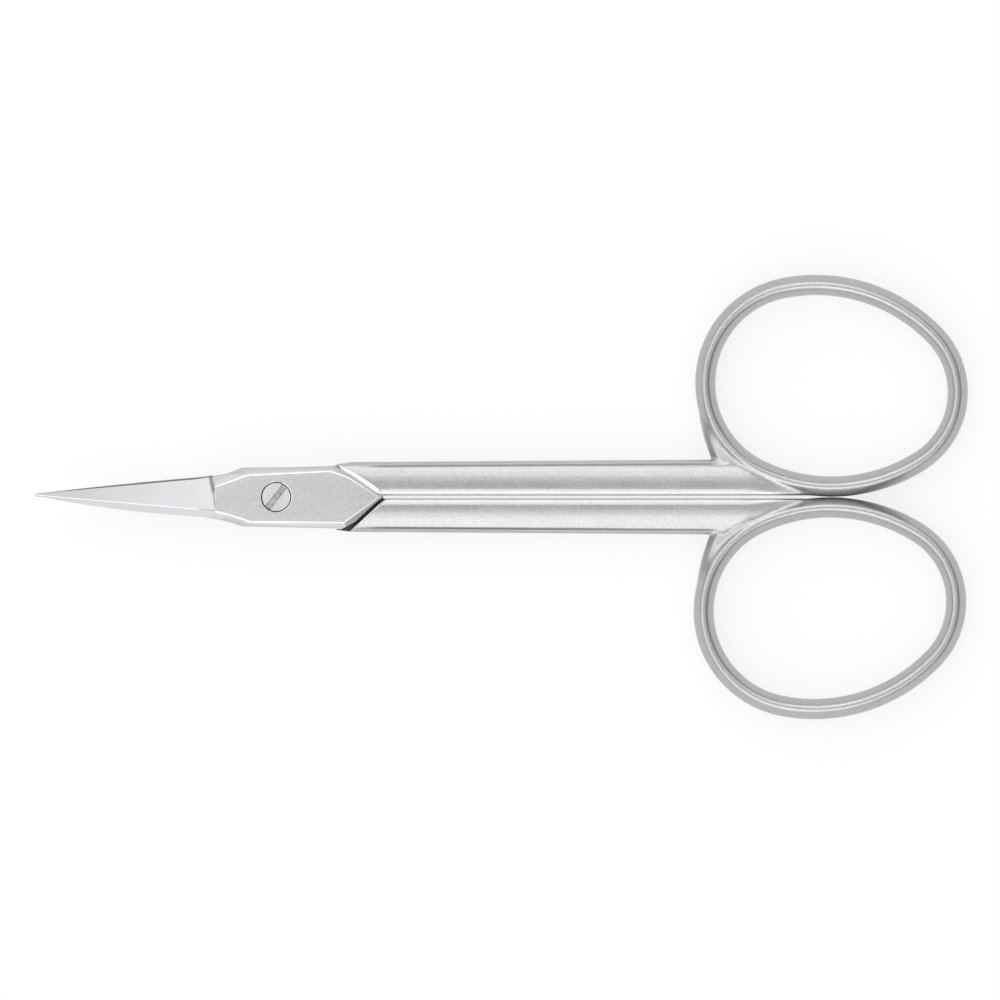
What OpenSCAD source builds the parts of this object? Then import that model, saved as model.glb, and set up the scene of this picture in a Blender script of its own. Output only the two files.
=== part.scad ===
// Cuticle scissors, 90 mm long, made of two forged halves and a slotted pivot screw.
// The pivot axis is Z. The points lie along -X and the finger rings along +X. Z is zero
// on the back of the joint, which the scissors lie on. The front half faces +Z.
// The rear half is drawn face up like the front one and then turned over about X.

/* [Joint] */
// Thickness of the closed joint, both halves together
joint_t = 3.6; // [3.5:0.1:4]
// Clearance between the two inner faces
seat_gap = 0.04; // [0.02:0.01:0.08]
// Half width of the joint beside the blades
joint_half_w_front = 2.87; // [2.8:0.01:2.95]
// Half width of the joint beside the shanks
joint_half_w_back = 3.09; // [3.04:0.01:3.14]
// Distance from the pivot to the corner where the joint widens
joint_corner_x = 3.3; // [3.1:0.1:3.5]
// Distance from the pivot axis to the slanted step that the other half closes against
step_dist = 7.24; // [7.14:0.02:7.34]
// Direction of the step's normal, from X
step_turn = 47.4; // [46.4:0.2:48.4]
// Clearance between that step and the other half's slanted end
step_gap = 0.3; // [0.25:0.05:0.4]
// Slope of the bevel all round the flat panel
bevel_slope = 40; // [38:1:42]

/* [Blades] */
// Length from the pivot to the points
blade_l = 23.29; // [22.79:0.1:23.79]
// Distance from the pivot to the root of the blade
blade_root_x = 7.5; // [7.3:0.1:7.7]
// Width of one blade's back at the root, from the closing axis
spine_root_w = 1.9; // [1.85:0.05:1.95]
// Width of one blade's back half way to the point
spine_mid_w = 1.17; // [1.12:0.01:1.22]
// Reach of the edge past the closing axis at the root
edge_root_w = 1.74; // [1.68:0.02:1.78]
// Offset of both points to the left of the closing axis
point_offset = 0.22; // [0.16:0.02:0.26]
// Width of the blunt end at each point
point_w = 0.16; // [0.12:0.02:0.3]
// Height that the points rise above the joint's inner faces
blade_rise = 3.2; // [2.8:0.1:3.6]
// Distance from the pivot at which the blades begin to bend
bend_start = 6.4; // [6.2:0.1:6.6]
// Slope of the ground face down to the edge
facet_slope = 28.6; // [28:0.2:29.2]
// Thickness left at the edge
edge_t = 0.1; // [0.08:0.01:0.12]
// Slope of the narrow bevel along the back of the blade
spine_slope = 44; // [42:1:46]
// Width of that bevel at the root
spine_bevel_root = 0.72; // [0.66:0.02:0.78]
// Radius of the sweep from the blade's root to the joint's corner
flare_r = 16; // [15:0.5:18]

/* [Shanks] */
// Gap between the two shanks when closed
shank_gap = 0.3; // [0.26:0.02:0.34]
// Width of the crowned face of a shank
crown_w = 2.88; // [2.84:0.02:2.92]
// Radius of the crown across the shank
crown_r = 4.5; // [4.2:0.1:5]
// Offset of the crown's ridge on the front half's face, and on the rear half's, from mid width
ridge_front = -0.45; // [-0.55:0.05:-0.35]
ridge_rear = -0.85; // [-0.95:0.05:-0.75]
// How much lower the shank's side bevel starts on the rear half's face
rear_side_drop = 0.3; // [0.25:0.05:0.35]
// Radius of the crown's two long edges
crown_edge_r = 0.5; // [0.45:0.05:0.55]
// Distance that the crown stays below the flat panel
crown_drop = 0.02; // [0.01:0.01:0.05]
// Overall half width at the joint end of the shanks
shank_half_w_front = 3.36; // [3.32:0.02:3.4]
// Overall half width where the rings begin
shank_half_w_back = 3.6; // [3.56:0.02:3.64]
// Slope of the crown's end above the panel
ramp_slope = 35; // [32:1:38]

/* [Finger rings] */
// Distance from the pivot to the centre of the ring's large end
ring_x = 50.68; // [50.18:0.1:51.18]
// Amount that the rear half's ring sits nearer to the pivot
rear_ring_setback = 0.16; // [0.1:0.02:0.22]
// Clearance between the two rings when closed
ring_gap = 0.06; // [0.04:0.01:0.1]
// Inside radius of the ring's large end
ring_big_r = 8.36; // [8.2:0.02:8.5]
// Inside radius of the ring's small end
ring_small_r = 6.9; // [6.8:0.1:7]
// Inside radius of the ring's two long sides
ring_side_r = 15; // [14.6:0.2:15.4]
// Distance between the centres of the two ends
ring_span = 7.2; // [7:0.1:7.4]
// Turn of the ring's long axis towards the other ring
ring_tilt = 7; // [6.5:0.5:7.5]
// Width of the ring's bar seen from the front
ring_w = 1.94; // [1.9:0.02:2]
// Height of the bar, measured over its rounded crests
ring_h = 3.56; // [3.48:0.02:3.58]
// Half width of a crest
crest_w = 0.3; // [0.28:0.01:0.32]
// Height of a crest's arc over its two edges
crest_rise = 0.13; // [0.12:0.01:0.14]
// Height of the flat band inside and outside the ring
ring_land = 1.1; // [1:0.1:1.2]

/* [Neck] */
// Radius of the web that thickens the ring where the shank joins it
web_r = 17; // [16:0.5:18]
// Width of the web's outer bevels
web_bevel_w = 0.62; // [0.56:0.02:0.68]
// Slope of those bevels
web_slope = 46; // [44:1:48]
// Slope of the web's faces, from the bevels up to the ring's crest
web_face_slope = 10.6; // [10.4:0.2:11.2]
// Distance from the ring's centre back to the notch between web and shank
notch_back = 7.68; // [7.5:0.02:7.8]
// Length of the crease from the notch into the shank
crease_l = 3.0; // [2.8:0.1:3.2]
// Turn of that crease from X, towards the other half
crease_turn = 30; // [28:1:32]
// Distance past the ring's centre at which the shank has run out into the ring
neck_reach = 1.8; // [1.6:0.1:2]
// Radius in side view with which the shank's faces run down to the ring
neck_r = 29; // [28:0.5:30]

/* [Pivot screw] */
// Diameter of the screw's head
head_d = 2.71; // [2.61:0.05:2.81]
// Thickness of the head
head_t = 0.75; // [0.6:0.05:0.9]
// Clearance round the head, in radius
head_gap = 0.1; // [0.06:0.02:0.14]
// Width of the driver slot
slot_w = 0.62; // [0.5:0.02:0.7]
// Depth of the driver slot
slot_depth = 0.42; // [0.3:0.02:0.5]
// Direction of the driver slot, from X
slot_turn = 52; // [0:4:180]
// Diameter of the plain shoulder that the front half turns on
shoulder_d = 2.0; // [1.9:0.05:2.2]
// Running clearance of the front half on the shoulder, in radius
running_gap = 0.03; // [0.02:0.01:0.05]
// Diameter of the end that screws into the rear half
thread_d = 1.6; // [1.4:0.05:1.7]
// Clearance of that end in its hole, in radius
thread_gap = 0.01; // [0.01:0.005:0.02]
// Clearance under the head
head_seat_gap = 0.02; // [0.01:0.01:0.04]

/* [Hidden] */
$fn = 96;

steel = "gainsboro";
screw_steel = "silver";

half_t = joint_t / 2;
// Room for cuts to run past the faces that they cut
over = 1;
// Width of cuts that run past both sides
wide = 12;

// Flat panel of the joint, seen from the front, with its corners named by where they lie
panel_left_x = -5.88;
bevel_w_back = 0.62;
panel_low_front = [-joint_corner_x + 0.55, -joint_half_w_front + 0.5];
panel_low_back = [6.5, -joint_half_w_back + bevel_w_back];
panel_high_back = [5.3, joint_half_w_back - bevel_w_back];
panel_high_front = [-joint_corner_x + 0.47, joint_half_w_front - 0.81];
panel_high_left = [panel_left_x, 0.96];
// Lean of the step wall down to the blade, from upright
wall_lean = 20;

// Ends of the short cut across the corner between the joint's side and its slanted end
end_cut_low = [6.3, -joint_half_w_back];
end_cut_high = [7.72, -2.33];
plate_end_x = 12;

// The slanted step, and the slanted end that closes against the other half's step
step_n = [cos(step_turn), sin(step_turn)];
step_t = [-sin(step_turn), cos(step_turn)];
end_dist = step_dist - step_gap;
panel_high_step = (step_dist - 1.15) * step_n - 3.85 * step_t;
panel_low_step = (step_dist - 0.55) * step_n - 7.3 * step_t;
ramp_high = (step_dist - 0.3) * step_n - 4.1 * step_t;
ramp_low = (step_dist - 0.02) * step_n - 7.3 * step_t;

// Blade bend: the inner faces lie on one sphere about a point on the pivot axis, so that
// the two blades slide on each other at every opening.
bend_drop = (blade_l * blade_l - bend_start * bend_start - blade_rise * blade_rise) / (2 * blade_rise);
bend_r = sqrt(bend_drop * bend_drop + blade_l * blade_l);
bend_z = bend_drop + blade_rise;

// Shanks
crown_h = half_t - crown_drop;
crown_y = shank_gap / 2;
crease_y = crown_y + crown_w - 0.1;
side_start_x = 6.9;
side_end_x = 42;
side_turn = atan((shank_half_w_back - shank_half_w_front) / (side_end_x - side_start_x));
side_inner_y = 0.8;
shank_end_x = ring_x + neck_reach;
side_band_end_x = ring_x - 3.4;
// Height that the shank is left with at its end, from mid thickness
neck_end_h = 0.5;
// The neck's run-down starts from a hair above the crown
neck_top = crown_h + 0.03;
neck_x = shank_end_x - sqrt(neck_r * neck_r - pow(neck_r - neck_top + neck_end_h, 2));
shank_start_x = 4;
// Shoulder from the joint's side out to the shank's side
shoulder_x = 5.3;
shoulder_turn = 8;
shoulder_l = 2.4;

// Ring: an egg of four tangent arcs
ring_out = ring_w / 2;
side_a = ring_side_r - ring_big_r;
side_b = ring_side_r - ring_small_r;
side_u = (side_a * side_a - side_b * side_b + ring_span * ring_span) / (2 * ring_span);
side_v = sqrt(side_a * side_a - side_u * side_u);
big_turn = atan2(side_v, -side_u);
small_turn = atan2(side_v, ring_span - side_u);
// Height of the lower long side's centre above the centre of the ring's large end
side_lift = -side_u * sin(ring_tilt) + side_v * cos(ring_tilt);
ring_y = ring_gap / 2 + ring_w + ring_side_r - side_lift;
// Slope of the ring's four slanted bands, and the radius of its two crests
ring_slope = atan((ring_h / 2 - crest_rise - ring_land / 2) / (ring_out - crest_w));
crest_r = (crest_w * crest_w + crest_rise * crest_rise) / (2 * crest_rise);
// Height at which the slanted bands would meet
ring_peak = ring_land / 2 + ring_out * tan(ring_slope);
crest_z = ring_h / 2 - crest_r;
crest_d = ring_peak - crest_z;
// How much larger the long sides' section is, and how far they run on over the ends
arc_grow = 0.01;
arc_lap = 0.6;

// Web from the ring's left side down to the shank
web_start_turn = 195;
web_ring_r = ring_big_r + ring_w;
web_high = [ring_x + web_ring_r * cos(web_start_turn), ring_y + web_ring_r * sin(web_start_turn)];
web_low = [ring_x - notch_back - 1.07, shank_half_w_back + 0.12];
notch = [ring_x - notch_back, shank_half_w_back + 0.09];
// How far the web runs on at each end, in degrees, and how far it reaches into the ring
web_start_lap = 5;
web_end_lap = 12;
web_depth = 2.9;
// How far below the notch the web runs into the shank's outer side
web_trim_drop = 0.2;
// How far web and shank run into each other at the crease
crease_lap = 0.06;
crease_end = notch + crease_l * [cos(crease_turn), -sin(crease_turn)];

function unit(v) = v / norm(v);
function left_of(v) = [-v[1], v[0]];
// Centre of the circle of radius r through p and q that lies to the left of the way from p to q
function arc_centre(p, q, r) =
    (p + q) / 2 + left_of(unit(q - p)) * sqrt(r * r - norm(q - p) * norm(q - p) / 4);
// Centre of the circle through three points
function circle_centre(p, q, s) =
    let (a = q - p, b = s - p, d = 2 * (a[0] * b[1] - a[1] * b[0]))
    p + [b[1] * (a * a) - a[1] * (b * b), a[0] * (b * b) - b[0] * (a * a)] / d;

// Takes away what lies above a plane that falls to the right of the line from p to q.
// The line is at height z, and the cut runs on by past and before at its ends.
module bevel_cut(p, q, z, slope, past = 0, before = 0) {
    translate([p[0], p[1], z])
        rotate([0, 0, atan2(q[1] - p[1], q[0] - p[0])])
            rotate([slope, 0, 0])
                translate([-before, -wide, 0])
                    cube([norm(q - p) + before + past, wide, wide]);
}

// Everything farther than dist along the direction turn, seen from the front
module beyond(dist, turn) {
    rotate(turn)
        translate([dist, -blade_l])
            square(2 * blade_l);
}

// Outline of a blade and its joint, with the back of the blade towards -Y.
// side is 1 for the front half and -1 for the rear half.
module leaf_outline(side) {
    tip_low = [-blade_l, side * point_offset - point_w / 2];
    tip_high = [-blade_l, side * point_offset + point_w / 2];
    spine_root = [-blade_root_x, -spine_root_w];
    spine_mid = [-(blade_l + blade_root_x) / 2, -spine_mid_w];
    edge_root = [-blade_root_x, edge_root_w];
    corner_low = [-joint_corner_x, -joint_half_w_front];
    corner_high = [-joint_corner_x, joint_half_w_front];
    spine_c = circle_centre(tip_low, spine_mid, spine_root);
    difference() {
        polygon([tip_low, tip_high, edge_root, corner_high, [plate_end_x, joint_half_w_back],
            [plate_end_x, end_cut_high[1]], end_cut_high, end_cut_low, corner_low, spine_root,
            [-blade_root_x, -spine_root_w - over], [-blade_l, -spine_root_w - over]]);
        difference() {
            translate([-blade_l - over, -spine_root_w - 2 * over])
                square([blade_l - blade_root_x + over, spine_root_w + 2 * over]);
            translate(spine_c)
                circle(norm(spine_c - spine_root), $fn = 720);
        }
        translate(arc_centre(corner_low, spine_root, flare_r))
            circle(flare_r, $fn = 360);
        translate(arc_centre(edge_root, corner_high, flare_r))
            circle(flare_r, $fn = 360);
        beyond(step_dist, step_turn);
        beyond(end_dist, -step_turn);
    }
}

// Everything above the inner face of the blade. The front blade bends up towards its own
// face and the rear blade bends down away from it.
module above_inner_face(side) {
    low = -blade_rise - over;
    if (side > 0)
        translate([0, 0, bend_z])
            sphere(bend_r - seat_gap / 2, $fn = 360);
    else
        difference() {
            translate([-blade_l - over, -wide / 2, low])
                cube([blade_l + over, wide, half_t - low]);
            translate([0, 0, -bend_z])
                sphere(bend_r + seat_gap / 2, $fn = 360);
        }
}

// Height of a blade's inner face at x, y
function inner_z(side, x, y) = side > 0
    ? bend_z - sqrt(pow(bend_r - seat_gap / 2, 2) - x * x - y * y)
    : sqrt(pow(bend_r + seat_gap / 2, 2) - x * x - y * y) - bend_z;

// A point seen along a slope about X: its x, and its height square to the slope
function on_slope(p, slope) = [p[0], p[1] * sin(slope) + p[2] * cos(slope)];

// Cylinder whose wall bends with the blade and passes through two points, one at the root and
// one at the tip. The wall slopes down towards +Y.
module bent_wall(root, tip, slope, side) {
    r = bend_r / cos(slope);
    p = on_slope(side > 0 ? tip : root, slope);
    q = on_slope(side > 0 ? root : tip, slope);
    centre = arc_centre(p, q, r);
    rotate([-slope, 0, 0])
        translate([centre[0], 0, centre[1]])
            rotate([90, 0, 0])
                cylinder(h = blade_l, r = r, center = true, $fn = 720);
}

// Takes away what lies above such a wall
module bent_cut(root, tip, slope, side) {
    if (side > 0)
        bent_wall(root, tip, slope, side);
    else
        difference() {
            translate([-blade_l - over, -wide / 2, -blade_rise - over])
                cube([blade_l, wide, blade_rise + half_t + 3 * over]);
            bent_wall(root, tip, slope, side);
        }
}

// One blade: a ground face down to the edge and a narrow bevel along the back
module blade(side) {
    edge_tip_w = side * point_offset + point_w / 2;
    back_root_w = spine_root_w - spine_bevel_root;
    back_tip_w = -side * point_offset;
    edge_root = [-blade_root_x, edge_root_w,
        inner_z(side, blade_root_x, edge_root_w) + edge_t];
    edge_tip = [-blade_l, edge_tip_w, inner_z(side, blade_l, edge_tip_w) + edge_t];
    back_root = [-blade_root_x, -back_root_w,
        edge_root[2] + (edge_root_w + back_root_w) * tan(facet_slope)];
    back_tip = [-blade_l, -back_tip_w, edge_tip[2] + (edge_tip_w + back_tip_w) * tan(facet_slope)];
    low = side > 0 ? seat_gap / 2 : -blade_rise - over;
    high = half_t + (side > 0 ? blade_rise : 0);
    difference() {
        intersection() {
            translate([0, 0, low])
                linear_extrude(high - low)
                    difference() {
                        leaf_outline(side);
                        beyond(panel_left_x + 0.4, 0);
                    }
            above_inner_face(side);
        }
        bent_cut(edge_root, edge_tip, facet_slope, side);
        bent_cut(back_root, back_tip, -spine_slope, side);
        translate([-blade_root_x, -wide / 2, half_t])
            cube([wide, wide, wide]);
    }
}

// Plate of the joint, with its flat panel and the bevels round it
module joint_plate() {
    flare_c = arc_centre([-joint_corner_x, -joint_half_w_front], [-blade_root_x, -spine_root_w], flare_r);
    flare_top_r = flare_r + spine_bevel_root;
    depth = 1.5;
    // How far each bevel runs on past the corners of the panel
    lap = 3;
    difference() {
        translate([0, 0, seat_gap / 2])
            linear_extrude(half_t - seat_gap / 2)
                leaf_outline(1);
        // The step down to the blade's ground face
        translate([panel_left_x, -wide / 2, half_t])
            rotate([0, wall_lean, 0])
                translate([-blade_l, 0, -blade_l / 2])
                    cube([blade_l, wide, blade_l]);
        bevel_cut(panel_low_front, panel_low_back, half_t, bevel_slope, past = lap, before = 0.6);
        bevel_cut(panel_low_back, panel_low_step, half_t, bevel_slope, past = lap, before = lap);
        bevel_cut(panel_low_step, panel_high_step, half_t, bevel_slope, past = lap, before = lap);
        bevel_cut(panel_high_step, panel_high_back, half_t, bevel_slope, past = lap, before = lap);
        bevel_cut(panel_high_back, panel_high_front, half_t, bevel_slope, past = lap, before = lap);
        bevel_cut(panel_high_front, panel_high_left, half_t, bevel_slope, past = lap, before = lap);
        translate([flare_c[0], flare_c[1], half_t - depth])
            cylinder(h = depth + over, r1 = flare_top_r - depth / tan(bevel_slope),
                r2 = flare_top_r + over / tan(bevel_slope), $fn = 360);
    }
}

// Section of a shank: a crowned body with round long edges, and a bevelled outer side
module crown_section() {
    body_h = 2 * (crown_h - pow(crown_w / 2 - crown_edge_r, 2) / (2 * crown_r));
    edge_y = crown_w / 2 - crown_edge_r;
    edge_z = body_h / 2 - crown_edge_r;
    translate([crown_y + crown_w / 2, 0])
        intersection() {
            union() {
                square([crown_w, 2 * edge_z], center = true);
                square([2 * edge_y, 2 * crown_h], center = true);
                for (y = [-edge_y, edge_y], z = [-edge_z, edge_z])
                    translate([y, z])
                        circle(crown_edge_r, $fn = 48);
            }
            translate([ridge_front, crown_h - crown_r])
                circle(crown_r, $fn = 180);
            translate([ridge_rear, crown_r - crown_h])
                circle(crown_r, $fn = 180);
        }
}

module side_section(outer_y) {
    side_z = half_t - (shank_half_w_front - panel_high_back[1]) * tan(bevel_slope);
    crease_z = side_z + (outer_y - crease_y) * tan(bevel_slope);
    low_z = rear_side_drop - side_z;
    low_crease_z = rear_side_drop - crease_z;
    polygon([[side_inner_y, low_crease_z], [crease_y, low_crease_z], [outer_y, low_z],
        [outer_y, side_z], [crease_y, crease_z], [side_inner_y, crease_z]]);
}

// Extrudes a section in Y and Z along X, from x0 to x1
module along_x(x0, x1) {
    translate([x0, 0, 0])
        rotate([90, 0, 90])
            linear_extrude(x1 - x0)
                children();
}

// Runs the crowns down to the ring at the end of the shank, on both faces
module neck_run_down() {
    ridges = [ridge_front, ridge_rear];
    for (face = [0, 1])
        mirror([0, 0, face])
            difference() {
                translate([neck_x, -wide / 2, 0])
                    cube([wide, wide, half_t + over]);
                translate([neck_x, crown_y + crown_w / 2 + ridges[face], neck_top - neck_r])
                    rotate([90, 0, 0])
                        rotate_extrude($fn = 360)
                            translate([neck_r - crown_r, 0])
                                circle(crown_r, $fn = 180);
            }
}

// Cuts the shank away beyond the crease, where the web takes over
module crease_cut() {
    translate([0, 0, -half_t - over])
        linear_extrude(joint_t + 2 * over)
            polygon([notch, crease_end, crease_end + [0, ring_w], notch + [0, ring_w]]);
}

module shank() {
    difference() {
        union() {
            along_x(shank_start_x, shank_end_x)
                crown_section();
            translate([side_start_x, shank_half_w_front, 0])
                rotate([0, 0, side_turn])
                    translate([-side_start_x, -shank_half_w_front, 0])
                        along_x(shank_start_x, side_band_end_x)
                            side_section(shank_half_w_front);
        }
        // Below the inner face the shank starts at the slanted step
        translate([0, 0, -half_t - over])
            linear_extrude(half_t + over + seat_gap / 2)
                rotate(step_turn)
                    translate([step_dist - wide, -wide])
                        square([wide, 2 * wide]);
        // Above it, the crown ends in a ramp beside the flat panel
        translate([0, 0, seat_gap / 2 - over / 2])
            linear_extrude(half_t + over)
                rotate(step_turn)
                    translate([step_dist - over - wide, -wide])
                        square([wide, 2 * wide]);
        neck_run_down();
        bevel_cut(ramp_high, ramp_low, crown_h, ramp_slope, past = 3, before = 3);
        translate([shoulder_x, joint_half_w_back, -half_t - over])
            rotate([0, 0, shoulder_turn])
                translate([-shank_start_x, 0, 0])
                    cube([shank_start_x + shoulder_l, 3, joint_t + 2 * over]);
    }
}

// Section of the ring's bar: flat inside and outside, four slanted bands and round crests
module ring_section(grow = 0) {
    out = ring_out + grow;
    land = ring_land / 2;
    peak = ring_peak + 2 * grow;
    shoulder_z = crest_z + crest_d * pow(cos(ring_slope), 2);
    intersection() {
        polygon([[out, -land], [out, land], [0, peak], [-out, land], [-out, -land], [0, -peak]]);
        union() {
            square([2 * out + over, 2 * shoulder_z], center = true);
            translate([0, crest_z])
                circle(crest_r + grow, $fn = 72);
            translate([0, -crest_z])
                circle(crest_r + grow, $fn = 72);
        }
    }
}

// Everything inside the ring's crest, as far in as a shank reaches
module inside_section() {
    depth = 0.15;
    edge_z = ring_h / 2 - crest_rise;
    translate([depth, 0])
        polygon([[-4, -3], [-crest_w, -3], [-crest_w, -edge_z], [-ring_out, -ring_land / 2],
            [-ring_out, ring_land / 2], [-crest_w, edge_z], [-crest_w, 3], [-4, 3]]);
}

// Turns a section through an arc about a centre in the ring's own plane
module ring_arc(centre, inner_r, from, to) {
    translate([centre[0], centre[1], 0])
        rotate_extrude(angle = to - from, start = from, $fn = 240)
            translate([inner_r + ring_out, 0])
                children();
}

// Carries a section round the ring. The first child goes round the two ends. The second,
// a hair larger, goes round the two long sides and runs on over the ends, to join them.
module ring_path() {
    translate([ring_x, ring_y, 0])
        rotate([0, 0, -ring_tilt]) {
            ring_arc([0, 0], ring_big_r, big_turn, 360 - big_turn)
                children(0);
            ring_arc([ring_span, 0], ring_small_r, -small_turn, small_turn)
                children(0);
            ring_arc([side_u, side_v], ring_side_r, -big_turn - arc_lap, -small_turn + arc_lap)
                children(1);
            ring_arc([side_u, -side_v], ring_side_r, small_turn - arc_lap, big_turn + arc_lap)
                children(1);
        }
}

// Web that thickens the ring's outside down to the shank
module web() {
    c = arc_centre(web_high, web_low, web_r);
    from = atan2(web_high[1] - c[1], web_high[0] - c[0]);
    to = atan2(web_low[1] - c[1], web_low[0] - c[0]);
    span = (to - from + 360) % 360;
    land = ring_land / 2;
    bevel_z = land + web_bevel_w * tan(web_slope);
    face_z = bevel_z + (web_depth - web_bevel_w) * tan(web_face_slope);
    difference() {
        translate([c[0], c[1], 0])
            rotate_extrude(angle = span + web_start_lap + web_end_lap, start = from - web_start_lap,
                $fn = 240)
                translate([web_r, 0])
                    polygon([[-web_depth, -face_z], [-web_bevel_w, -bevel_z], [0, -land],
                        [0, land], [-web_bevel_w, bevel_z], [-web_depth, face_z]]);
        // The web stops inside the shank's outer side and along the crease
        translate([0, 0, -half_t - over])
            linear_extrude(joint_t + 2 * over)
                intersection() {
                    translate([notch[0] - wide, notch[1] - web_trim_drop - wide])
                        square([2 * wide, wide]);
                    translate(notch)
                        rotate(-crease_turn)
                            translate([-wide, -crease_lap - 2 * wide])
                                square([3 * wide, 2 * wide]);
                }
    }
}

module finger_ring() {
    ring_path() {
        ring_section();
        ring_section(grow = arc_grow);
    }
}

// Shank, web and ring, with the finger hole cut clear
module handle(setback) {
    difference() {
        union() {
            difference() {
                shank();
                translate([-setback, 0, 0])
                    crease_cut();
            }
            translate([-setback, 0, 0])
                web();
        }
        translate([-setback, 0, 0])
            ring_path() {
                inside_section();
                translate([arc_grow, 0])
                    inside_section();
            }
    }
    translate([-setback, 0, 0])
        finger_ring();
}

// One half, face up, with its inner face at the height zero
module half(side, setback) {
    blade(side);
    joint_plate();
    handle(setback);
}

// Stepped bore that the screw's head and shoulder sit in
module screw_bore() {
    translate([0, 0, half_t - head_t])
        cylinder(h = head_t + over, r = head_d / 2 + head_gap);
    translate([0, 0, -over])
        cylinder(h = half_t + over, r = shoulder_d / 2 + running_gap);
}

module front_half() {
    color(steel)
        translate([0, 0, half_t])
            difference() {
                half(1, 0);
                screw_bore();
            }
}

module rear_half() {
    color(steel)
        translate([0, 0, half_t])
            difference() {
                rotate([180, 0, 0])
                    half(-1, rear_ring_setback);
                translate([0, 0, -half_t - over])
                    cylinder(h = half_t + 2 * over, r = thread_d / 2 + thread_gap);
            }
}

module pivot_screw() {
    shoulder_low = -seat_gap / 2;
    head_low = half_t - head_t + head_seat_gap;
    color(screw_steel)
        translate([0, 0, half_t])
            difference() {
                union() {
                    translate([0, 0, head_low])
                        cylinder(h = half_t - head_low, r = head_d / 2);
                    translate([0, 0, shoulder_low])
                        cylinder(h = head_low - shoulder_low, r = shoulder_d / 2);
                    translate([0, 0, -half_t])
                        cylinder(h = half_t + shoulder_low, r = thread_d / 2);
                }
                rotate([0, 0, slot_turn])
                    translate([-head_d, -slot_w / 2, half_t - slot_depth])
                        cube([2 * head_d, slot_w, slot_depth + over]);
            }
}

front_half();
rear_half();
pivot_screw();
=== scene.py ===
import math

import bpy
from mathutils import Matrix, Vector


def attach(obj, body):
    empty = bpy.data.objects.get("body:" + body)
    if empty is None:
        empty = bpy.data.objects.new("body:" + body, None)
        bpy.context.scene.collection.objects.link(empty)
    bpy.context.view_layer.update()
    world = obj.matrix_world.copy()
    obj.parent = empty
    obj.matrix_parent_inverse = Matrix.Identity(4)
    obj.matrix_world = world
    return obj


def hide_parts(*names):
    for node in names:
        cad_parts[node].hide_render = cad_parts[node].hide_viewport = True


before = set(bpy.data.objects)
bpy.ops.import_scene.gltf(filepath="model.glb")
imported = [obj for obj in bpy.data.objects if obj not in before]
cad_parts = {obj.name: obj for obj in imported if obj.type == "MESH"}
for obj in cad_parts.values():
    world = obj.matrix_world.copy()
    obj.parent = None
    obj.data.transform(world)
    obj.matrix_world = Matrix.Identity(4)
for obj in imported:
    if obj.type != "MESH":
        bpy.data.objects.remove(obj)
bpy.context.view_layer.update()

# Front half. One forged bar of stainless steel, ground to shape: the blade is fine ground, the
# joint's panel is blasted matt, and the shank and the finger ring are tumbled to a satin. The
# ground edges are broken by polishing, so each shows as a thin bright line.


def run_between(tree, value, low, high, at_low, at_high, easing="LINEAR"):
    """A value that runs from at_low to at_high while another runs from low to high."""
    node = tree.nodes.new("ShaderNodeMapRange")
    node.interpolation_type = easing
    for name, number in (("From Min", low), ("From Max", high),
                         ("To Min", at_low), ("To Max", at_high)):
        node.inputs[name].default_value = number
    tree.links.new(value, node.inputs["Value"])
    return node.outputs["Result"]


def worked_out(tree, operation, a, b, c=None):
    """A value worked out from two or three others, each a number or a socket."""
    node = tree.nodes.new("ShaderNodeMath")
    node.operation = operation
    for slot, value in zip(node.inputs, (a, b, c)):
        if isinstance(value, (int, float)):
            slot.default_value = value
        elif value is not None:
            tree.links.new(value, slot)
    return node.outputs[0]


def noise(tree, place, scale):
    """Soft noise at a place, from 0 to 1."""
    node = tree.nodes.new("ShaderNodeTexNoise")
    node.inputs["Scale"].default_value = scale
    node.inputs["Detail"].default_value = 2
    tree.links.new(place, node.inputs["Vector"])
    return node


def steel(name, base, rough, scale, stretch, spread, depth):
    """A steel finish: its colour, and the fine grain that grinding or blasting leaves."""
    material = bpy.data.materials.new(name)
    material.use_nodes = True
    tree = material.node_tree
    bsdf = tree.nodes["Principled BSDF"]
    bsdf.inputs["Metallic"].default_value = 1
    place = tree.nodes.new("ShaderNodeTexCoord")
    turn = tree.nodes.new("ShaderNodeMapping")
    turn.inputs["Scale"].default_value = stretch
    tree.links.new(place.outputs["Object"], turn.inputs["Vector"])
    fine = noise(tree, turn.outputs["Vector"], scale)
    fine.inputs["Roughness"].default_value = 0.6
    tone = tree.nodes.new("ShaderNodeMix")
    tone.data_type = "RGBA"
    tone.inputs["A"].default_value = (*[c * (1 - spread) for c in base], 1)
    tone.inputs["B"].default_value = (*[min(1, c * (1 + spread)) for c in base], 1)
    grain = run_between(tree, fine.outputs["Fac"], 0.3, 0.7, 0, 1)
    tree.links.new(grain, tone.inputs["Factor"])
    tree.links.new(tone.outputs["Result"], bsdf.inputs["Base Color"])
    cloud = noise(tree, place.outputs["Object"], 300)
    dull = run_between(tree, cloud.outputs["Fac"], 0.3, 0.7, rough - 0.03, rough + 0.03)
    tree.links.new(dull, bsdf.inputs["Roughness"])
    bump = tree.nodes.new("ShaderNodeBump")
    bump.inputs["Strength"].default_value = 0.6
    bump.inputs["Distance"].default_value = depth
    tree.links.new(fine.outputs["Fac"], bump.inputs["Height"])
    tree.links.new(bump.outputs["Normal"], bsdf.inputs["Normal"])
    return material


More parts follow.
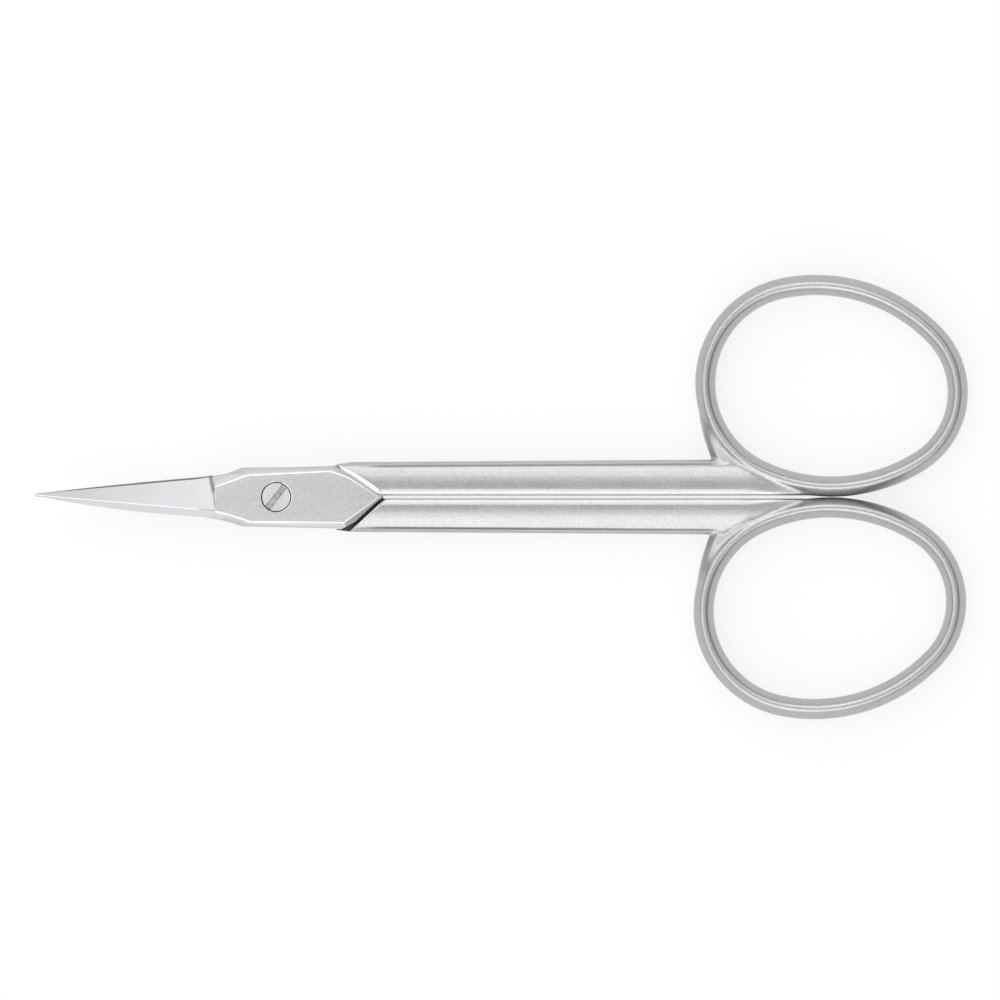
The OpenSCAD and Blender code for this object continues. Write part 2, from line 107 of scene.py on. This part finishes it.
satin = steel("satin_steel", (0.47, 0.467, 0.475), 0.32, 8000, (1, 1, 1), 0.16, 0.000007)
blasted = steel("blasted_steel", (0.54, 0.54, 0.545), 0.5, 9000, (1, 1, 1), 0.14, 0.000014)
ground = steel("ground_steel", (0.53, 0.526, 0.545), 0.34, 5000, (3, 0.3, 1), 0.04, 0.000003)
polished = steel("polished_steel", (0.9, 0.9, 0.91), 0.24, 4000, (1, 1, 1), 0.01, 0.000001)
chamfered = steel("chamfered_steel", (0.56, 0.552, 0.57), 0.32, 7000, (1, 1, 1), 0.03, 0.000003)
# The screw's bore, painted near black: painted shade in the recess round the screw
bore_shade = steel("bore_shade_steel", (0.09, 0.085, 0.08), 0.5, 3000, (1, 1, 1), 0.2, 0.000005)
# The blades' inner faces: rougher from sliding on each other, and painted dark as painted shade
# under the other blade's edge
rubbed_and_shaded = steel("rubbed_and_shaded_steel", (0.24, 0.23, 0.225), 0.42, 4000, (0.3, 3, 1), 0.15, 0.000004)
blade_back = steel("blade_back_steel", (0.69, 0.685, 0.7), 0.34, 5000, (3, 0.3, 1), 0.03, 0.000003)
finishes = [satin, blasted, ground, polished, chamfered, bore_shade, rubbed_and_shaded, blade_back]

# The crease beside a shank's crown: its distance off the axis at the pivot, and how it drifts
# out along the shank, by 0.4 degrees
crease_y = 0.002883
crease_drift = 0.00684


def paint_crease_shade_and_edge_highlight(material):
    """Paints shade into the crease beside each shank's crown, and paints a highlight along its
    inner edge.
    """
    tree = material.node_tree
    bsdf = tree.nodes["Principled BSDF"]
    tone = bsdf.inputs["Base Color"].links[0].from_socket
    split = tree.nodes.new("ShaderNodeSeparateXYZ")
    tree.links.new(tree.nodes["Texture Coordinate"].outputs["Object"], split.inputs["Vector"])
    x = split.outputs["X"]
    across = worked_out(tree, "ABSOLUTE", split.outputs["Y"], 0)

    def part(value, low, high, at_low, at_high):
        """A value that runs softly from at_low to at_high."""
        return run_between(tree, value, low, high, at_low, at_high, "SMOOTHSTEP")

    # The painted crease shade is soft across, begins past the joint and ends before the web
    line = worked_out(tree, "MULTIPLY_ADD", x, crease_drift, crease_y)
    off_line = worked_out(tree, "ABSOLUTE", worked_out(tree, "SUBTRACT", across, line), 0)
    past_joint = part(x, 0.0078, 0.0105, 0, 1)
    before_web = part(x, 0.0415, 0.0432, 1, 0)
    along = worked_out(tree, "MULTIPLY", past_joint, before_web)
    # Painted shade: the satin is darkened along the crease, where shade falls
    painted_crease_shade = worked_out(tree, "MULTIPLY", part(off_line, 0.00005, 0.00016, 1, 0), along)
    # The painted highlight on the inner edge fades out from the slit, and along the shank before
    # the ring
    by_slit = part(across, 0.0002, 0.0006, 0.8, 0)
    before_ring = part(x, 0.047, 0.0495, 1, 0)
    # Painted highlight: the satin is brightened near white along the inner edge by the slit
    painted_edge_highlight = worked_out(tree, "MULTIPLY", by_slit, before_ring)
    # Each painted mark is mixed into the satin's colour: dark grey for the crease's painted shade,
    # near white for the edge's painted highlight
    for share, colour in ((painted_crease_shade, (0.2, 0.195, 0.195, 1)), (painted_edge_highlight, (0.95, 0.95, 0.96, 1))):
        mix = tree.nodes.new("ShaderNodeMix")
        mix.data_type = "RGBA"
        tree.links.new(share, mix.inputs["Factor"])
        tree.links.new(tone, mix.inputs["A"])
        mix.inputs["B"].default_value = colour
        tone = mix.outputs["Result"]
    tree.links.new(tone, bsdf.inputs["Base Color"])


# The satin gets painted shade in the crease beside each shank's crown, and a painted highlight on
# its inner edge
paint_crease_shade_and_edge_highlight(satin)


def select_only(piece):
    bpy.ops.object.select_all(action="DESELECT")
    bpy.context.view_layer.objects.active = piece
    piece.select_set(True)


def apply(piece, modifier):
    select_only(piece)
    bpy.ops.object.modifier_apply(modifier=modifier.name)


def merged_copy(node, name):
    """A copy of a solid with its loose triangles merged, and flat faces made whole."""
    select_only(node)
    bpy.ops.object.duplicate()
    piece = bpy.context.object
    piece.name = name
    piece.data.name = name
    bpy.ops.mesh.customdata_custom_splitnormals_clear()
    bpy.ops.object.mode_set(mode="EDIT")
    bpy.ops.mesh.select_all(action="SELECT")
    bpy.ops.mesh.remove_doubles(threshold=0.000002)
    bpy.ops.mesh.dissolve_limited(angle_limit=math.radians(0.4))
    bpy.ops.object.mode_set(mode="OBJECT")
    return piece


# The joint's slanted step: its distance from the pivot, and the turn of its normal from X
step_dist = 0.00724
step_turn = math.radians(47.4)


def cut_at_step(piece, up, past, joint):
    """Cuts a piece just past the slanted step, and keeps the joint or else the handle."""
    normal = (math.cos(step_turn), up * math.sin(step_turn), 0)
    select_only(piece)
    bpy.ops.object.mode_set(mode="EDIT")
    bpy.ops.mesh.select_all(action="SELECT")
    bpy.ops.mesh.bisect(plane_co=[(step_dist + past) * n for n in normal], plane_no=normal,
                        use_fill=True, clear_outer=joint, clear_inner=not joint,
                        threshold=0.0000002)
    bpy.ops.object.mode_set(mode="OBJECT")


def past_step(place, up):
    """Whether a place lies beyond the joint's slanted step, on the shank."""
    return place.x * math.cos(step_turn) + place.y * up * math.sin(step_turn) > step_dist


# Where the joint's panel begins and ends along X, and how far off its height a face may be
panel_from = -0.0062
panel_to = 0.0103
panel_slack = 0.00003
# Where the blade's ground faces end, and where the ramp of the shank's crown begins
blade_to = -0.0059
ramp_from = 0.006
# A radius round the pivot that holds the bore and nothing else
bore_reach = 0.0016


def finish_of(face, panel_z, up):
    """The finish of a face of a half, from its place and the way that it looks."""
    c, n = face.center, face.normal
    looks_up = n.z * up
    at_panel_z = abs(c.z - panel_z) < panel_slack
    on_blade = c.x < blade_to
    if panel_from < c.x < panel_to and looks_up > 0.999 and at_panel_z:
        return blasted
    if on_blade and looks_up > 0.5 and n.y * up > 0.2:
        return ground
    if on_blade and looks_up > 0.5 and n.y * up < -0.2:
        return blade_back
    # Painted shade: the blades' inner faces are painted dark where the other blade's edge shades
    # them
    if on_blade and looks_up < -0.85:
        return rubbed_and_shaded
    if c.x > ramp_from and 0.8 < looks_up < 0.84 and n.x < -0.2:
        return polished
    # Painted shade: the faces of the bore are painted near black
    if math.hypot(c.x, c.y) < bore_reach:
        return bore_shade
    if c.x < panel_to and 0.6 < looks_up < 0.9:
        return chamfered
    return satin


# An edge that turns by more than this is a sharp one
sharp_turn = math.radians(16)
# Where the joint's edges begin along X, beside the blade's root
joint_from = -0.00605
# The shoulder, where the joint's side steps out to the shank: its edges stay as they are
shoulder_from = 0.0045
shoulder_y = 0.00285


def weigh_sharp_edges(piece, up):
    """Marks the edges that are broken by polishing: the joint's, and half as wide a blade's."""
    sides = {}
    for p in piece.data.polygons:
        for key in p.edge_keys:
            sides.setdefault(key, []).append(p)
    blade_faces = {finishes.index(ground), finishes.index(blade_back)}
    weights = piece.data.attributes.new("bevel_weight_edge", "FLOAT", "EDGE")
    for e in piece.data.edges:
        pair = sides.get(e.key, ())
        if len(pair) != 2:
            continue
        a, b = pair
        stands_out = (b.center - a.center).dot(a.normal) < 0
        if not stands_out or a.normal.angle(b.normal) < sharp_turn:
            continue
        ends = [piece.data.vertices[v].co for v in e.vertices]
        on_joint = all(v.x > joint_from and not past_step(v, up) for v in ends)
        on_shoulder = all(v.x > shoulder_from and abs(v.y) > shoulder_y for v in ends)
        if on_joint and not on_shoulder:
            weights.data[e.index].value = 1
        elif {a.material_index, b.material_index} == blade_faces:
            weights.data[e.index].value = 0.5


def wear_smooth(piece, name, turns, share_at=None):
    """Wears a piece smooth, all over or by the share that share_at gives for each place."""
    wear = piece.modifiers.new(name, "SMOOTH")
    wear.factor = 0.5
    wear.iterations = turns
    if share_at:
        group = piece.vertex_groups.new(name=name)
        for v in piece.data.vertices:
            share = share_at(v.co)
            if share > 0:
                group.add([v.index], min(1, share), "REPLACE")
        wear.vertex_group = name
    apply(piece, wear)


# Thickness of the closed joint, with the rings at its middle height
joint_t = 0.0036
# The ring's crests lie past this place along X, off the middle height, and past the shank's
# sides or its end. The wear sets in over the width that is named with each.
ring_from = 0.04
mid_half_t = 0.0004
mid_fade = 0.0006
shank_side = 0.0042
side_fade = 0.002
shank_end = 0.0515
end_fade = 0.004


def crest_share(place):
    """How far a place lies on one of the ring's two crests, clear of the shank."""
    past_shank = max((abs(place.y) - shank_side) / side_fade, (place.x - shank_end) / end_fade)
    off_middle = (abs(place.z - joint_t / 2) - mid_half_t) / mid_fade
    return min(past_shank, off_middle) if place.x > ring_from else 0


# The neck: where it begins and ends along X, half its width, and how its wear sets in
neck_from = 0.0447
neck_to = 0.0535
neck_half_w = 0.0032
neck_end_fade = 0.001
neck_side_fade = 0.0006


def neck_share(place):
    """How far a place lies inside the neck, where the shank flows into the ring."""
    return min((place.x - neck_from) / neck_end_fade, (neck_to - place.x) / neck_end_fade,
               (neck_half_w - abs(place.y)) / neck_side_fade)


# Width of a broken edge, and the size of the cells that the tumbled handle is worn in
broken_w = 0.00006
cell = 0.00012
# How far past the step the joint's own faces end, and the tumbled shank begins
seam_past = 0.00006
# The handle is cut this much longer first, so that its end stays square while it is worn
spare_l = 0.001


def finished_half(node, name, panel_z, up):
    """A half with a finish on each of its regions, broken edges and a softly rounded handle."""
    piece = merged_copy(node, name)
    piece.data.materials.clear()
    for finish in finishes:
        piece.data.materials.append(finish)
    for p in piece.data.polygons:
        p.material_index = finishes.index(finish_of(p, panel_z, up))
    weigh_sharp_edges(piece, up)
    edges = piece.modifiers.new("broken_edges", "BEVEL")
    edges.width = broken_w
    edges.segments = 2
    edges.limit_method = "WEIGHT"
    edges.use_clamp_overlap = False
    edges.material = finishes.index(polished)
    apply(piece, edges)
    cut_at_step(piece, up, seam_past, True)
    bpy.ops.object.shade_smooth_by_angle(angle=sharp_turn)

    handle = merged_copy(node, name + "_handle")
    cut_at_step(handle, up, seam_past - spare_l, False)
    handle.data.materials.clear()
    handle.data.materials.append(satin)
    cells = handle.modifiers.new("cells", "REMESH")
    cells.mode = "VOXEL"
    cells.voxel_size = cell
    apply(handle, cells)
    wear_smooth(handle, "tumbled", 3)
    wear_smooth(handle, "crests", 80, crest_share)
    wear_smooth(handle, "neck", 18, neck_share)
    cut_at_step(handle, up, seam_past, False)
    bpy.ops.object.shade_smooth_by_angle(angle=math.radians(60))

    select_only(piece)
    handle.select_set(True)
    bpy.ops.object.join()
    return piece


front = finished_half(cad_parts["front_half"], "front_half_steel", joint_t, 1)
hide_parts("front_half")
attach(front, "front")

# Rear half. The same forging turned over, behind the front half, which it closes against. It is
# finished in the same way, with its panel on the back, where the scissors lie on it.
rear = finished_half(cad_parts["rear_half"], "rear_half_steel", 0.0, -1)
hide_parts("rear_half")
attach(rear, "rear")

# Pivot screw. Turned from stainless bar, its head faced bright in the lathe, and screwed through
# the front half into the rear one. The sawn slot keeps its saw marks, and is darker and browner
# than the head.
sawn = steel("sawn_steel", (0.47, 0.455, 0.435), 0.45, 3000, (1, 1, 1), 0.3, 0.00001)
# Heights between which the slot's floor and walls lie, and the radius that they stay within
slot_from = 0.0030
slot_to = 0.00355
slot_reach = 0.00134
screw = merged_copy(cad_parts["pivot_screw"], "pivot_screw_steel")
screw.data.materials.clear()
for finish in (polished, sawn):
    screw.data.materials.append(finish)
for p in screw.data.polygons:
    off_axis = math.hypot(p.center.x, p.center.y)
    p.material_index = int(slot_from < p.center.z < slot_to and off_axis < slot_reach)
bpy.ops.object.shade_smooth_by_angle(angle=math.radians(20))
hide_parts("pivot_screw")
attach(screw, "rear")

# Floor. A white table that the scissors lie on. It looks white to the camera and in the steel,
# and a fifth of it is plain paper, which keeps the scissors' shadow.
bpy.ops.object.select_all(action="DESELECT")
bpy.ops.mesh.primitive_plane_add(size=3, location=(0, 0, 0))
floor = bpy.context.object
floor.name = "floor"
paper = bpy.data.materials.new("white_paper")
paper.use_nodes = True
tree = paper.node_tree
paper_bsdf = tree.nodes["Principled BSDF"]
paper_bsdf.inputs["Base Color"].default_value = (0.85, 0.85, 0.85, 1)
paper_bsdf.inputs["Roughness"].default_value = 0.9
paper_bsdf.inputs["Specular IOR Level"].default_value = 0
white = tree.nodes.new("ShaderNodeEmission")
white.inputs["Strength"].default_value = 1
path = tree.nodes.new("ShaderNodeLightPath").outputs
seen = worked_out(tree, "MAXIMUM", path["Is Camera Ray"], path["Is Glossy Ray"])
seen = worked_out(tree, "MAXIMUM", seen, path["Is Transmission Ray"])
mix = tree.nodes.new("ShaderNodeMixShader")
tree.links.new(worked_out(tree, "MULTIPLY", seen, 0.8), mix.inputs["Fac"])
tree.links.new(paper_bsdf.outputs["BSDF"], mix.inputs[1])
tree.links.new(white.outputs["Emission"], mix.inputs[2])
tree.links.new(mix.outputs["Shader"], tree.nodes["Material Output"].inputs["Surface"])
floor.data.materials.append(paper)

# Light. A grey studio, darker overhead and to the right, and a little to the far left, with a
# soft box to the left and a long soft box on either side of the scissors.
world = bpy.data.worlds.new("studio")
bpy.context.scene.world = world
world.use_nodes = True
tree = world.node_tree
way = tree.nodes.new("ShaderNodeTexCoord")
split = tree.nodes.new("ShaderNodeSeparateXYZ")
tree.links.new(way.outputs["Generated"], split.inputs["Vector"])
# Radiance from the horizon up to straight overhead, as half its value
height = tree.nodes.new("ShaderNodeValToRGB")
height.color_ramp.interpolation = "EASE"
marks = height.color_ramp.elements
marks[0].position, marks[1].position = 0, 1
marks[0].color, marks[1].color = (0.5, 0.5, 0.5, 1), (0.34, 0.34, 0.34, 1)
for at, grey in ((0.15, 0.54), (0.45, 0.9), (0.9, 0.93), (0.965, 0.5)):
    marks.new(at).color = (grey, grey, grey, 1)
tree.links.new(split.outputs["Z"], height.inputs["Fac"])
# Shares of that radiance from left to right, and from the far left
to_right = run_between(tree, split.outputs["X"], -0.05, 0.75, 2, 0.5)
from_left = run_between(tree, split.outputs["X"], -0.8, -0.1, 0.6, 1)
share = worked_out(tree, "MULTIPLY", to_right, from_left)
sky = tree.nodes["Background"]
tree.links.new(worked_out(tree, "MULTIPLY", height.outputs["Color"], share),
               sky.inputs["Strength"])
sky.inputs["Color"].default_value = (1, 1, 1, 1)

# The soft boxes face the middle of the scissors from this far away
lit_place = Vector((0.02, 0, 0))
lamp_reach = 0.5


def soft_box(name, azimuth, tilt, width, height, radiance):
    """A soft box that faces the scissors. tilt is its angle from straight above."""
    a, t = math.radians(azimuth), math.radians(tilt)
    way_in = Vector((math.sin(t) * math.cos(a), math.sin(t) * math.sin(a), math.cos(t)))
    bpy.ops.object.light_add(type="AREA", location=lit_place + way_in * lamp_reach)
    lamp = bpy.context.object
    lamp.name = name
    lamp.rotation_euler = way_in.to_track_quat("Z", "Y").to_euler()
    lamp.data.shape = "RECTANGLE"
    lamp.data.size = width
    lamp.data.size_y = height
    lamp.data.energy = radiance * math.pi * width * height


soft_box("soft_box_left", 180, 46, 0.5, 0.34, 0.2)
soft_box("soft_box_back", 90, 46, 0.8, 0.3, 0.15)
soft_box("soft_box_front", -90, 46, 0.8, 0.3, 0.3)

# Camera. It looks straight down on the middle of the picture, and with no taper, as a long
# lens does from far away.
middle = (0.02157, -0.000289)
picture_w = 0.09637
bpy.ops.object.camera_add(location=(*middle, 0.5), rotation=(0, 0, 0))
camera = bpy.context.object
camera.name = "camera"
camera.data.type = "ORTHO"
camera.data.ortho_scale = picture_w
camera.data.clip_start = 0.01
bpy.context.scene.camera = camera
bpy.context.scene.view_settings.view_transform = "Standard"
